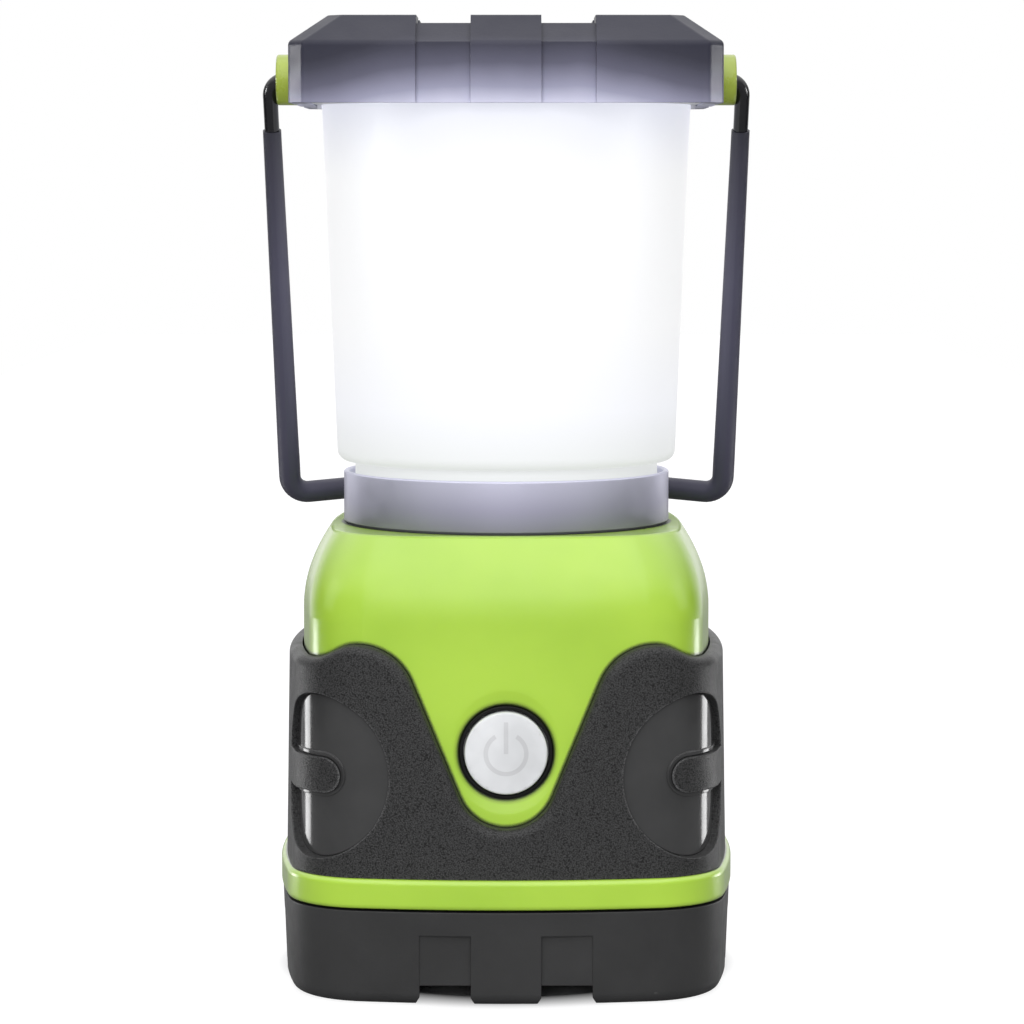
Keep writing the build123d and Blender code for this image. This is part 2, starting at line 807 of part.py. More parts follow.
with BuildPart() as led_board:
    with BuildSketch(Plane.XY.offset(sink_top)):
        Circle(top_opening)
    extrude(amount=board_thickness)

with BuildPart() as led_chips:
    with BuildSketch(Plane.XY.offset(sink_top + board_thickness)):
        for ring_radius, count in led_rings:
            with PolarLocations(ring_radius, count):
                Rectangle(led_size, led_size)
    extrude(amount=led_height)

with BuildPart() as led_leads:
    with BuildSketch(Plane.XY.offset(driver_top)):
        with Locations((-lead_spread, 0), (lead_spread, 0)):
            Circle(lead_radius)
    extrude(amount=sink_top - driver_top)

# ---------------------------------------------------------------- button and switch
button_axis = Axis((0, 0, button_height), (0, 1, 0))
button_top = -body_half - button_proud
flange_front = -boss_face + gap
flange_back = flange_front + flange_thickness
stem_back = flange_back + stem_reach

with BuildPart() as button_blank:
    with BuildSketch(Plane.YZ):
        with BuildLine():
            rim_y = button_top + button_dome
            ThreePointArc(
                (button_top, button_height),
                (button_top + button_dome / 4, button_height + button_radius / 2),
                (rim_y, button_height + button_radius),
            )
            Polyline(
                (rim_y, button_height + button_radius),
                (flange_front, button_height + button_radius),
                (flange_front, button_height + button_radius + flange_reach),
                (flange_back, button_height + button_radius + flange_reach),
                (flange_back, button_height + button_radius - button_skirt_wall),
                (button_top + button_skin, button_height + button_radius - button_skirt_wall),
                (button_top + button_skin, button_height + stem_radius),
                (stem_back, button_height + stem_radius),
                (stem_back, button_height),
                (button_top, button_height),
            )
        make_face()
    revolve(axis=button_axis)
    rims = button_blank.edges().filter_by(lambda edge: edge.is_closed)
    fillet(rims.sort_by(Axis.Y)[0], radius=button_edge)

with BuildPart() as symbol_prism:
    with BuildSketch(Plane.XZ.offset(-button_top - symbol_inlay)):
        with Locations((0, button_height)):
            Circle(symbol_radius + symbol_line / 2)
            Circle(symbol_radius - symbol_line / 2, mode=Mode.SUBTRACT)
        opening_height = 2 * symbol_radius
        opening_half = opening_height * tan(radians(symbol_gap_angle / 2))
        with BuildLine():
            Polyline(
                (0, button_height),
                (opening_half, button_height + opening_height),
                (-opening_half, button_height + opening_height),
                close=True,
            )
        make_face(mode=Mode.SUBTRACT)
        with Locations((0, button_height + symbol_bar / 2)):
            Rectangle(symbol_line, symbol_bar)
    extrude(amount=2 * symbol_inlay)

with BuildPart() as button_cap:
    add(button_blank.part)
    add(symbol_prism.part, mode=Mode.SUBTRACT)

with BuildPart() as power_symbol:
    add(button_blank.part)
    add(symbol_prism.part, mode=Mode.INTERSECT)

with BuildPart() as button_bezel:
    with BuildSketch(Plane.XZ.offset(boss_face)):
        with Locations((0, button_height)):
            Circle(button_radius + gap + bezel_wall)
            Circle(button_radius + gap, mode=Mode.SUBTRACT)
    extrude(amount=boss_depth + shell_wall)

with BuildPart() as switch_plunger:
    with BuildSketch(Plane.XZ.offset(-stem_back - plunger_length)):
        with Locations((0, button_height)):
            Circle(plunger_radius)
    extrude(amount=plunger_length)

with BuildPart() as tact_switch:
    with BuildSketch(Plane.XZ.offset(board_front)):
        with Locations((0, button_height)):
            Rectangle(switch_size, switch_size)
    extrude(amount=switch_depth)
    with BuildSketch(Plane.XZ.offset(board_front + gap)):
        with Locations((0, button_height)):
            Circle(plunger_radius + gap)
    extrude(amount=switch_depth, mode=Mode.SUBTRACT)

with BuildPart() as switch_board:
    with BuildSketch(Plane.XZ.offset(board_front - board_thickness)):
        with Locations((0, button_height)):
            Rectangle(switch_board_width, switch_board_height)
            with GridLocations(2 * board_screw_x, 2 * board_screw_z, 2, 2):
                Circle(screw_radius + slip, mode=Mode.SUBTRACT)
    extrude(amount=board_thickness)

with BuildPart() as switch_screws:
    with BuildSketch(Plane.XZ.offset(board_front - board_thickness)):
        with Locations((0, button_height)):
            with GridLocations(2 * board_screw_x, 2 * board_screw_z, 2, 2):
                Circle(screw_radius)
    extrude(amount=3 * board_thickness)
    with BuildSketch(Plane.XZ.offset(board_front - board_thickness - screw_head)):
        with Locations((0, button_height)):
            with GridLocations(2 * board_screw_x, 2 * board_screw_z, 2, 2):
                Circle(screw_head_radius)
    extrude(amount=screw_head)

switch_lead_bottom = button_height + switch_board_height / 2
with BuildPart() as switch_leads:
    with BuildSketch(Plane.XY.offset(switch_lead_bottom)):
        with Locations((0, -lead_place)):
            with GridLocations(lead_spread, 1, 2, 1):
                Circle(lead_radius)
    extrude(amount=driver_bottom - switch_lead_bottom)

# ---------------------------------------------------------------- collar
with BuildPart() as collar:
    with BuildSketch(Plane.XZ):
        with BuildLine():
            Polyline(
                (collar_flange_inner, body_top),
                (collar_radius - collar_bevel, body_top),
                (collar_radius, body_top + collar_bevel),
                (collar_radius, collar_top - collar_bevel / 2),
                (collar_radius - collar_bevel / 2, collar_top),
                (collar_bore + collar_bevel / 2, collar_top),
                (collar_bore, collar_top - collar_bevel / 2),
                (collar_bore, flange_top),
                (collar_flange_inner, flange_top),
                close=True,
            )
        make_face()
    revolve(axis=Axis.Z)
    with BuildSketch(Plane.XY.offset(body_top)):
        with PolarLocations(collar_screw_circle, 3):
            Circle(screw_radius)
    extrude(amount=collar_flange - gap, mode=Mode.SUBTRACT)
    for angle in thirds:
        collar_rib = ring_sector(
            angle,
            rib_centre,
            neck_radius + gap,
            collar_bore + collar_wall / 2,
            thread_span,
            thread_lead,
        )
        extrude(collar_rib, amount=thread_thickness / 2, both=True)

with BuildPart() as collar_screws:
    with BuildSketch(Plane.XY.offset(plate_underside - screw_head)):
        with PolarLocations(collar_screw_circle, 3):
            Circle(screw_head_radius)
    extrude(amount=screw_head)
    with BuildSketch(Plane.XY.offset(plate_underside)):
        with PolarLocations(collar_screw_circle, 3):
            Circle(screw_radius)
    extrude(amount=shell_wall + collar_flange - 2 * gap)

with BuildPart() as globe_seal:
    with BuildSketch(Plane.XY.offset(seal_bottom)):
        Circle(collar_bore - gap)
        Circle(seal_inner, mode=Mode.SUBTRACT)
    extrude(amount=seal_thickness)

# ---------------------------------------------------------------- globe
with BuildPart() as globe:
    with BuildSketch(Plane.XZ) as globe_profile:
        with BuildLine():
            Polyline(
                (neck_radius, neck_bottom),
                (neck_radius, globe_bottom),
                (globe_foot_radius, globe_bottom),
                (globe_top_radius, cap_bottom),
                (globe_top_radius, globe_top),
                (globe_top_radius - globe_wall, globe_top),
                (globe_top_radius - globe_wall, cap_bottom),
                (globe_foot_radius - globe_wall, globe_bottom + globe_wall),
                (neck_radius - globe_wall, globe_bottom + globe_wall),
                (neck_radius - globe_wall, neck_bottom),
                close=True,
            )
        make_face()
        foot_corners = globe_profile.vertices().filter_by(
            lambda corner: abs(corner.Y - globe_bottom) < globe_wall + slip
            and corner.X > neck_radius + slip
        )
        fillet(foot_corners.sort_by(Axis.Y)[0], radius=globe_round)
    revolve(axis=Axis.Z)
    for angle in thirds:
        globe_lug = ring_sector(
            angle,
            lug_centre,
            neck_radius - globe_wall / 2,
            neck_radius + thread_reach,
            thread_span,
            thread_lead,
        )
        extrude(globe_lug, amount=thread_thickness / 2, both=True)

# ---------------------------------------------------------------- cap
def cap_hull(inset, shoulder):
    """Faceted block that slopes from its shoulder, lying this far inside the cap's outside."""
    half = cap_half - inset
    top_half = cap_half - cap_slope_run - inset * (1 - lean_up) / lean_out
    facet = cap_facet - inset * (2 - sqrt(2))
    with BuildPart() as hull:
        extrude(faceted_plan(cap_bottom, half, facet), amount=shoulder - cap_bottom)
        loft(
            [
                faceted_plan(shoulder, half, facet),
                faceted_plan(cap_top - inset, top_half, facet),
            ],
            ruled=True,
        )
    return hull


cap_slope = hypot(cap_slope_run, cap_slope_rise)
lean_out = cap_slope_rise / cap_slope
lean_up = cap_slope_run / cap_slope
hollow_inset = channel_depth + cap_wall
hollow_shoulder = cap_shoulder - hollow_inset * (1 - lean_out) / lean_up
cap_outside = cap_hull(0, cap_shoulder)
cap_core = cap_hull(channel_depth, cap_shoulder)
cap_hollow = cap_hull(hollow_inset, hollow_shoulder)

# Two channels cross the cap each way, up one side, over the top and down the other.
with BuildPart() as channels:
    with BuildSketch(Plane.XY.offset(cap_bottom - overcut)):
        with GridLocations(channel_pitch, 1, 2, 1):
            Rectangle(channel_width, 3 * cap_half)
        with GridLocations(1, channel_pitch, 1, 2):
            Rectangle(3 * cap_half, channel_width)
    extrude(amount=cap_top - cap_bottom + 2 * overcut)
    add(cap_core.part, mode=Mode.SUBTRACT)
    with BuildSketch(Plane.XY.offset(cap_bottom - overcut)):
        Rectangle(2 * (cap_half - channel_depth), 2 * (cap_half - channel_depth))
    extrude(amount=overcut, mode=Mode.SUBTRACT)

with BuildPart() as cap_shell:
    add(cap_outside.part)
    fillet(
        cap_shell.edges().filter_by(lambda edge: edge.center().Z > cap_bottom + overcut),
        radius=cap_round,
    )
    add(channels.part, mode=Mode.SUBTRACT)
    add(cap_hollow.part, mode=Mode.SUBTRACT)
    with BuildSketch(Plane.XY.offset(plate_top)):
        with GridLocations(2 * cap_screw_place, 2 * cap_screw_place, 2, 2):
            Circle(cap_boss_radius)
            Circle(screw_radius, mode=Mode.SUBTRACT)
    extrude(amount=cap_boss_height)
    with BuildSketch(Plane.YZ):
        with Locations((0, pivot_height)):
            Circle(spigot_radius + fit)
    extrude(amount=cap_half + overcut, both=True, mode=Mode.SUBTRACT)

with BuildPart() as cap_plate:
    extrude(
        faceted_plan(plate_bottom, plate_half, cap_facet),
        amount=plate_thickness,
    )
    with BuildSketch(Plane.XY.offset(plate_bottom)):
        Circle(globe_top_radius + slip)
        Circle(globe_top_radius - globe_wall - slip, mode=Mode.SUBTRACT)
    extrude(amount=globe_seat, mode=Mode.SUBTRACT)
    with BuildSketch(Plane.XY.offset(plate_bottom)):
        with GridLocations(2 * cap_screw_place, 2 * cap_screw_place, 2, 2):
            Circle(screw_head_radius + slip)
    extrude(amount=screw_head, mode=Mode.SUBTRACT)
    with BuildSketch(Plane.XY.offset(plate_bottom)):
        with GridLocations(2 * cap_screw_place, 2 * cap_screw_place, 2, 2):
            Circle(screw_radius + slip)
        with GridLocations(2 * (plate_half - saddle_foot / 2), 1, 2, 1):
            Rectangle(saddle_foot + 2 * slip, saddle_foot_width + 2 * slip)
    extrude(amount=plate_thickness, mode=Mode.SUBTRACT)

with BuildPart() as cap_screws:
    with BuildSketch(Plane.XY.offset(plate_bottom)):
        with GridLocations(2 * cap_screw_place, 2 * cap_screw_place, 2, 2):
            Circle(screw_head_radius)
    extrude(amount=screw_head)
    with BuildSketch(Plane.XY.offset(plate_bottom)):
        with GridLocations(2 * cap_screw_place, 2 * cap_screw_place, 2, 2):
            Circle(screw_radius)
    extrude(amount=cap_screw_length)

with BuildPart() as cap_reflector:
    with BuildSketch(Plane.XZ):
        with BuildLine():
            Polyline(
                (0, plate_bottom - reflector_depth),
                (reflector_radius - reflector_rim, plate_bottom - reflector_wall),
                (reflector_radius, plate_bottom - reflector_wall),
                (reflector_radius, plate_bottom),
                (reflector_radius - reflector_foot, plate_bottom),
                (0, plate_bottom - reflector_depth + reflector_wall),
                close=True,
            )
        make_face()
    revolve(axis=Axis.Z)

with BuildPart() as saddle_right:
    with BuildSketch(Plane.XY.offset(plate_top)):
        with Locations((saddle_outer - saddle_length / 2, 0)):
            Rectangle(saddle_length, saddle_width)
    extrude(amount=saddle_height)
    with BuildSketch(Plane.XY.offset(plate_bottom - saddle_foot_drop)):
        with Locations((saddle_outer - saddle_foot / 2, 0)):
            Rectangle(saddle_foot, saddle_foot_width)
    extrude(amount=plate_thickness + saddle_foot_drop)
    with BuildSketch(Plane.YZ.offset(wire_tip)):
        with Locations((0, pivot_height)):
            Circle(wire_radius + fit)
    extrude(amount=saddle_outer, mode=Mode.SUBTRACT)

with BuildPart() as saddle_left:
    mirror(saddle_right.part, about=Plane.YZ)

# ---------------------------------------------------------------- bail
bail_corners = [
    bail_point(wire_tip, 0, 0),
    bail_point(arm_top, 0, 0),
    bail_point(arm_foot, bail_length, 0),
    bail_point(bow_place, bail_length, bail_bow),
]
bail_route = bail_corners + [Vector(-p.X, p.Y, p.Z) for p in reversed(bail_corners)]
bail_radii = [top_bend, corner_bend, bow_bend, bow_bend, corner_bend, top_bend]

with BuildPart() as handle_wire:
    with BuildLine() as wire_line:
        FilletPolyline(*bail_route, radius=bail_radii)
    with BuildSketch(Plane(origin=wire_line.line @ 0, z_dir=wire_line.line % 0)):
        Circle(wire_radius)
    sweep(path=wire_line.line)

arm_run = (bail_corners[2] - bail_corners[1]).normalized()
grip_top = bail_corners[1] + arm_run * grip_start
grip_foot = bail_corners[2] - arm_run * (2 * corner_bend)
grip_route = [grip_foot, bail_corners[2], bail_corners[3]]
grip_route += [Vector(-p.X, p.Y, p.Z) for p in reversed(grip_route)]

with BuildPart() as handle_grip:
    with BuildLine() as grip_line:
        FilletPolyline(*grip_route, radius=[corner_bend, bow_bend, bow_bend, corner_bend])
    with BuildSketch(Plane(origin=grip_line.line @ 0, z_dir=grip_line.line % 0)):
        Circle(grip_radius)
    sweep(path=grip_line.line)
    for side in (1, -1):
        top_end = Vector(side * grip_top.X, grip_top.Y, grip_top.Z)
        foot_end = Vector(side * grip_foot.X, grip_foot.Y, grip_foot.Z)
        run = Vector(side * arm_run.X, arm_run.Y, arm_run.Z)
        with BuildSketch(Plane(origin=top_end, z_dir=run)) as thin_end:
            Circle(grip_thin)
        with BuildSketch(Plane(origin=foot_end, z_dir=run)) as thick_end:
            Circle(grip_radius)
        loft([thin_end.sketch, thick_end.sketch], ruled=True)
    add(handle_wire.part, mode=Mode.SUBTRACT)

pivot_axis = Axis((0, 0, pivot_height), (1, 0, 0))
with BuildPart() as knob_right:
    with BuildSketch(Plane.XZ):
        with BuildLine():
            Polyline(
                (saddle_outer + 2 * gap, pivot_height),
                (saddle_outer + 2 * gap, pivot_height + spigot_radius),
                (knob_inner, pivot_height + spigot_radius),
                (knob_inner, pivot_height + knob_radius),
                (knob_face, pivot_height + knob_radius),
                (knob_face, pivot_height),
                close=True,
            )
        make_face()
    revolve(axis=pivot_axis)
    fillet(knob_right.faces().sort_by(Axis.X)[-1].edges(), radius=knob_round)
    add(handle_wire.part, mode=Mode.SUBTRACT)

with BuildPart() as knob_left:
    mirror(knob_right.part, about=Plane.YZ)

with BuildPart() as push_nuts:
    for side in (-1, 1):
        nut_place = side * (saddle_inner - gap - nut_thickness / 2)
        with BuildSketch(Plane.YZ.offset(nut_place)):
            with Locations((0, pivot_height)):
                Circle(nut_radius)
                Circle(wire_radius, mode=Mode.SUBTRACT)
        extrude(amount=nut_thickness / 2, both=True)

# ---------------------------------------------------------------- write every piece
pieces = {
    "body_shell": body_shell,
    "bumper": bumper,
    **corner_panels,
    "base_cup": base_cup,
    "hook_pin": hook_pin,
    "hanging_hook": hanging_hook,
    **cells,
    "battery_tray": battery_tray,
    "tray_lid": tray_lid_plate,
    "cell_contacts": cell_contacts,
    "cell_springs": cell_springs,
    "supply_pins": supply_pins,
    "driver_board": driver_board,
    "driver_components": driver_components,
    "driver_screws": driver_screws,
    "heat_sink": heat_sink,
    "led_board": led_board,
    "led_chips": led_chips,
    "led_leads": led_leads,
    "button_cap": button_cap,
    "power_symbol": power_symbol,
    "button_bezel": button_bezel,
    "switch_plunger": switch_plunger,
    "tact_switch": tact_switch,
    "switch_board": switch_board,
    "switch_screws": switch_screws,
    "switch_leads": switch_leads,
    "collar": collar,
    "collar_screws": collar_screws,
    "globe_seal": globe_seal,
    "globe": globe,
    "cap_shell": cap_shell,
    "cap_plate": cap_plate,
    "cap_screws": cap_screws,
    "cap_reflector": cap_reflector,
    "saddle_right": saddle_right,
    "saddle_left": saddle_left,
    "handle_wire": handle_wire,
    "handle_grip": handle_grip,
    "knob_right": knob_right,
    "knob_left": knob_left,
    "push_nuts": push_nuts,
}
for name, piece in pieces.items():
    piece.part.label = name
    export_step(piece.part, f"parts/{name}.step")
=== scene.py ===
"""Battery camping lantern: finishes, floor, room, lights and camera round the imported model."""
import bpy
from math import radians
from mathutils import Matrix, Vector


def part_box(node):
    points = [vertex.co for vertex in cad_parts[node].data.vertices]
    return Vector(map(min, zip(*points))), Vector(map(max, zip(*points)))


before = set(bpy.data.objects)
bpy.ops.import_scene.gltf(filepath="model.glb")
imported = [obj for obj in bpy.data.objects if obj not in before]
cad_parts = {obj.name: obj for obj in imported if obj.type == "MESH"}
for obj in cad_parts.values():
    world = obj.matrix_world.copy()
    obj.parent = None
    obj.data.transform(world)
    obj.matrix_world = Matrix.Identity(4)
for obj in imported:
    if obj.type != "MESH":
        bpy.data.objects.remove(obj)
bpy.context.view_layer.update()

# ---------------------------------------------------------------- camera
# A long lens stands in front of the lantern, a little below its cap, and looks slightly
# down on it. It stands a millimetre to the right of the middle.
camera_distance = 0.775
camera_height = 0.1602
camera_side = 0.00115
camera_pitch = 5.06
camera_lens = 135.46
camera_data = bpy.data.cameras.new("camera")
camera_data.sensor_width = 36
camera_data.lens = camera_lens
camera_data.clip_start = 0.01
camera = bpy.data.objects.new("camera", camera_data)
camera.location = (camera_side, -camera_distance, camera_height)
camera.rotation_euler = (radians(90 - camera_pitch), 0, 0)
bpy.context.scene.collection.objects.link(camera)
bpy.context.scene.camera = camera
bpy.context.scene.view_settings.view_transform = "Standard"

# ---------------------------------------------------------------- floor
# A long sheet of matt plastic, lit white from below by its own glow, with a painted shadow where
# the lantern stands on it: there the glow is left out.
# Nearly all of its glow goes to the camera, and very little to the lantern.
floor_half_width = 0.40
floor_front = -1.4
floor_back = 3.0
floor_dark = (0.19, 0.19, 0.195)
floor_light = (0.21, 0.21, 0.215)
floor_glow = 0.85
floor_glow_shed = 0.05       # share of the glow that reaches the lantern
floor_glow_start = 0.036     # distance from the lantern's axis where the painted shadow ends and the glow sets in
floor_glow_full = 0.047      # and where it is at its full strength


def new_material(name):
    """Empty node material with its output and one Principled shader."""
    material = bpy.data.materials.new(name)
    material.use_nodes = True
    tree = material.node_tree
    tree.nodes.clear()
    output = tree.nodes.new("ShaderNodeOutputMaterial")
    shader = tree.nodes.new("ShaderNodeBsdfPrincipled")
    tree.links.new(shader.outputs[0], output.inputs["Surface"])
    return material, tree, shader


def object_point(tree):
    """Place on the piece in its own frame, in metres."""
    return tree.nodes.new("ShaderNodeTexCoord").outputs["Object"]


def noise(tree, size, detail=2.0, roughness=0.5, distortion=0.0):
    """Noise with lumps of about this size in metres; returns its value output."""
    node = tree.nodes.new("ShaderNodeTexNoise")
    node.inputs["Scale"].default_value = 1 / size
    node.inputs["Detail"].default_value = detail
    node.inputs["Roughness"].default_value = roughness
    node.inputs["Distortion"].default_value = distortion
    tree.links.new(object_point(tree), node.inputs["Vector"])
    return node.outputs[0]


def spread(tree, value, low, high, start=0.0, stop=1.0):
    """Maps a value that runs from start to stop onto low to high."""
    node = tree.nodes.new("ShaderNodeMapRange")
    tree.links.new(value, node.inputs["Value"])
    node.inputs["From Min"].default_value = start
    node.inputs["From Max"].default_value = stop
    node.inputs["To Min"].default_value = low
    node.inputs["To Max"].default_value = high
    return node.outputs[0]


def combined(tree, operation, first, second):
    """Two values put together by a math operation."""
    node = tree.nodes.new("ShaderNodeMath")
    node.operation = operation
    tree.links.new(first, node.inputs[0])
    tree.links.new(second, node.inputs[1])
    return node.outputs[0]


def ramp(tree, value, *stops):
    """Colours at places along a value, as (place, colour) pairs."""
    node = tree.nodes.new("ShaderNodeValToRGB")
    elements = node.color_ramp.elements
    while len(elements) < len(stops):
        elements.new(0.5)
    for element, (place, colour) in zip(elements, stops):
        element.position = place
        element.color = (*colour, 1)
    tree.links.new(value, node.inputs["Fac"])
    return node.outputs[0]


def mottled(tree, dark, light, size, detail=3, start=0.35, stop=0.65):
    """Colour that drifts between two tints over lumps of this size."""
    return ramp(tree, noise(tree, size, detail=detail), (start, dark), (stop, light))


floor_material, floor_tree, floor_shader = new_material("pale_floor")
floor_shader.inputs["Roughness"].default_value = 0.6
floor_tint = mottled(
    floor_tree, floor_dark, floor_light, size=0.05, detail=4, start=0.3, stop=0.7
)
floor_tree.links.new(floor_tint, floor_shader.inputs["Base Color"])
floor_shader.inputs["Emission Color"].default_value = (1, 1, 1, 1)
floor_distance = floor_tree.nodes.new("ShaderNodeVectorMath")
floor_distance.operation = "LENGTH"
floor_tree.links.new(object_point(floor_tree), floor_distance.inputs[0])
# Painted shadow: no glow near the lantern's axis, so the floor is dark under it.
floor_glow_past_painted_shadow = spread(
    floor_tree,
    floor_distance.outputs["Value"],
    low=0.0,
    high=floor_glow,
    start=floor_glow_start,
    stop=floor_glow_full,
)
floor_sight = floor_tree.nodes.new("ShaderNodeLightPath")
floor_seen = spread(
    floor_tree, floor_sight.outputs["Is Camera Ray"], low=floor_glow_shed, high=1.0
)
floor_strength = combined(floor_tree, "MULTIPLY", floor_glow_past_painted_shadow, floor_seen)
floor_tree.links.new(floor_strength, floor_shader.inputs["Emission Strength"])
floor_mesh = bpy.data.meshes.new("floor")
floor_corners = [
    (-floor_half_width, floor_front, 0),
    (floor_half_width, floor_front, 0),
    (floor_half_width, floor_back, 0),
    (-floor_half_width, floor_back, 0),
]
floor_mesh.from_pydata(floor_corners, [], [(0, 1, 2, 3)])
floor_mesh.materials.append(floor_material)
floor = bpy.data.objects.new("floor", floor_mesh)
bpy.context.scene.collection.objects.link(floor)

# ---------------------------------------------------------------- room and lights
# A room that is white behind and overhead, grey in front and dark at the sides, with a fill
# light and three softboxes. Two pairs of small strips show only as reflections: the low pair
# in the corner panels, the high pair, with a narrow beam, in the cut corners of the cap.
room_front = 0.42
room_side = 0.06
room_back = 1.0
room_ceiling = 1.4
room_spill = 0.3             # share of the room's light that falls on matt faces
room_seen = 1.0              # brightness of the room for the camera


def grey(value):
    """Neutral colour of this brightness."""
    return (value, value, value)


world = bpy.data.worlds.new("white_room")
world.use_nodes = True
bpy.context.scene.world = world
room = world.node_tree
background = room.nodes["Background"]
room_direction = room.nodes.new("ShaderNodeSeparateXYZ")
room.links.new(room.nodes.new("ShaderNodeTexCoord").outputs["Generated"], room_direction.inputs[0])
room_walls = ramp(
    room,
    spread(room, room_direction.outputs["Y"], low=0.0, high=1.0, start=-1.0, stop=1.0),
    (0.22, grey(room_front)),
    (0.47, grey(room_side)),
    (0.75, grey(room_side)),
    (0.90, grey(room_back)),
)
room_overhead = spread(
    room, room_direction.outputs["Z"], low=0.0, high=room_ceiling, start=0.2, stop=0.65
)
room_light = combined(room, "MAXIMUM", room_walls, room_overhead)
room_rays = room.nodes.new("ShaderNodeLightPath")
room_share = spread(room, room_rays.outputs["Is Diffuse Ray"], low=1.0, high=room_spill)
room_strength = room.nodes.new("ShaderNodeMix")
room.links.new(room_rays.outputs["Is Camera Ray"], room_strength.inputs["Factor"])
room.links.new(combined(room, "MULTIPLY", room_light, room_share), room_strength.inputs["A"])
room_strength.inputs["B"].default_value = room_seen
room.links.new(room_strength.outputs["Result"], background.inputs["Strength"])
background.inputs["Color"].default_value = (1, 1, 1, 1)


def softbox(name, place, target, width, height, power):
    """Rectangular light that faces its target and is not seen itself."""
    light = bpy.data.lights.new(name, "AREA")
    light.shape = "RECTANGLE"
    light.size = width
    light.size_y = height
    light.energy = power
    box = bpy.data.objects.new(name, light)
    box.location = place
    box.rotation_euler = (Vector(target) - Vector(place)).to_track_quat("-Z", "Y").to_euler()
    box.visible_camera = False
    bpy.context.scene.collection.objects.link(box)
    return box


def mirrored(place, sign):
    """A place on the right (1), or its mirror image on the left (-1)."""
    across, depth, height = place
    return (sign * across, depth, height)


sides = (("left", -1), ("right", 1))
lantern_middle = (0, 0, 0.09)
fill_place = (-0.10, -1.6, 0.50)
top_place = (0.0, -0.65, 1.2)
side_place = (1.25, 0.0, 0.50)
panel_strip_place = (0.164, 0.060, 0.028)
cap_strip_place = (0.20, -0.036, 0.166)
cap_strip_power = {"left": 0.008, "right": 0.007}
cap_strip_beam = 30
fill_light = softbox(
    "softbox_fill", fill_place, lantern_middle, width=1.0, height=0.8, power=19.0
)
fill_light.visible_glossy = False
softbox("softbox_top", top_place, lantern_middle, width=1.8, height=2.6, power=11.0)
for side, sign in sides:
    place = mirrored(side_place, sign)
    softbox(f"softbox_{side}", place, lantern_middle, width=0.50, height=0.50, power=0.6)
for side, sign in sides:
    place = mirrored(panel_strip_place, sign)
    target = (0, 0, place[2])
    strip = softbox(f"strip_{side}", place, target, width=0.050, height=0.055, power=0.040)
    strip.visible_diffuse = False
for side, sign in sides:
    place = mirrored(cap_strip_place, sign)
    target = (0, place[1], place[2])
    power = cap_strip_power[side]
    strip = softbox(f"strip_cap_{side}", place, target, width=0.05, height=0.05, power=power)
    strip.data.spread = radians(cap_strip_beam)
    strip.visible_diffuse = False

# ---------------------------------------------------------------- body shell
# One moulding of bright yellow-green ABS with a polished skin: band, walls, soft shoulder
# and top plate. The plastic carries painted shade in its seams and round the ring of the button.
green_dark = (0.340, 0.560, 0.036)
green_light = (0.400, 0.630, 0.048)
green_edge = 0.0003          # rounding of the sharp edges
seam_shade_reach = 0.0012
seam_shade_darkest = 0.03
seam_shade_start = 0.72            # share of open sky below which the painted seam shade is at its darkest
seam_shade_stop = 0.82             # and above which nothing of it is left
ring_painted_shade = 0.35            # brightness of the painted shade on the green where it meets the ring
ring_painted_shade_reach = 0.0014
dish_edge = 0.0018           # rounding at the rim of the shallow dish that the ring lies in
dish_start = 0.0035          # distance from the ring where this rounding begins to fade
dish_stop = 0.0050
smooth_angle = 32


def dress(material, *names):
    """Gives CAD pieces a finish and smooth shading that keeps their sharp edges."""
    for name in names:
        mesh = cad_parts[name].data
        mesh.materials.clear()
        mesh.materials.append(material)
        mesh.shade_smooth()
        mesh.set_sharp_from_angle(angle=radians(smooth_angle))


def drifting_sheen(tree, shader, low, high, size=0.004, detail=3):
    """Roughness that drifts from low to high over lumps of this size."""
    drift = noise(tree, size, detail=detail)
    sheen = spread(tree, drift, low, high, start=0.3, stop=0.7)
    tree.links.new(sheen, shader.inputs["Roughness"])


def relief(tree, shader, height, depth, strength=1.0, edge=0.0):
    """Surface relief from a height value, on top of edges rounded by this radius."""
    bump = tree.nodes.new("ShaderNodeBump")
    bump.inputs["Strength"].default_value = strength
    bump.inputs["Distance"].default_value = depth
    tree.links.new(height, bump.inputs["Height"])
    tree.links.new(bump.outputs[0], shader.inputs["Normal"])
    if edge:
        bevel = tree.nodes.new("ShaderNodeBevel")
        bevel.samples = 6
        bevel.inputs["Radius"].default_value = edge
        tree.links.new(bevel.outputs[0], bump.inputs["Normal"])


def scaled(tree, colour, share):
    """Colour multiplied by a share."""
    node = tree.nodes.new("ShaderNodeVectorMath")
    node.operation = "SCALE"
    tree.links.new(colour, node.inputs[0])
    tree.links.new(share, node.inputs["Scale"])
    return node.outputs[0]


def distance_from(tree, point):
    """Distance on the piece from a point."""
    node = tree.nodes.new("ShaderNodeVectorMath")
    node.operation = "DISTANCE"
    tree.links.new(object_point(tree), node.inputs[0])
    node.inputs[1].default_value = point
    return node.outputs["Value"]


green_plastic, green_tree, green_shader = new_material("green_abs")
green_tint = mottled(green_tree, green_dark, green_light, size=0.03)
# Painted shade: the green is darkened in its seams, where other faces stand close to it.
green_sky = green_tree.nodes.new("ShaderNodeAmbientOcclusion")
green_sky.samples = 8
green_sky.inputs["Distance"].default_value = seam_shade_reach
green_painted_seam_shade = spread(
    green_tree,
    green_sky.outputs["AO"],
    low=seam_shade_darkest,
    high=1.0,
    start=seam_shade_start,
    stop=seam_shade_stop,
)
ring_low, ring_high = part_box("button_bezel")
ring_radius = (ring_high.x - ring_low.x) / 2
ring_distance = distance_from(green_tree, (ring_low + ring_high) / 2)
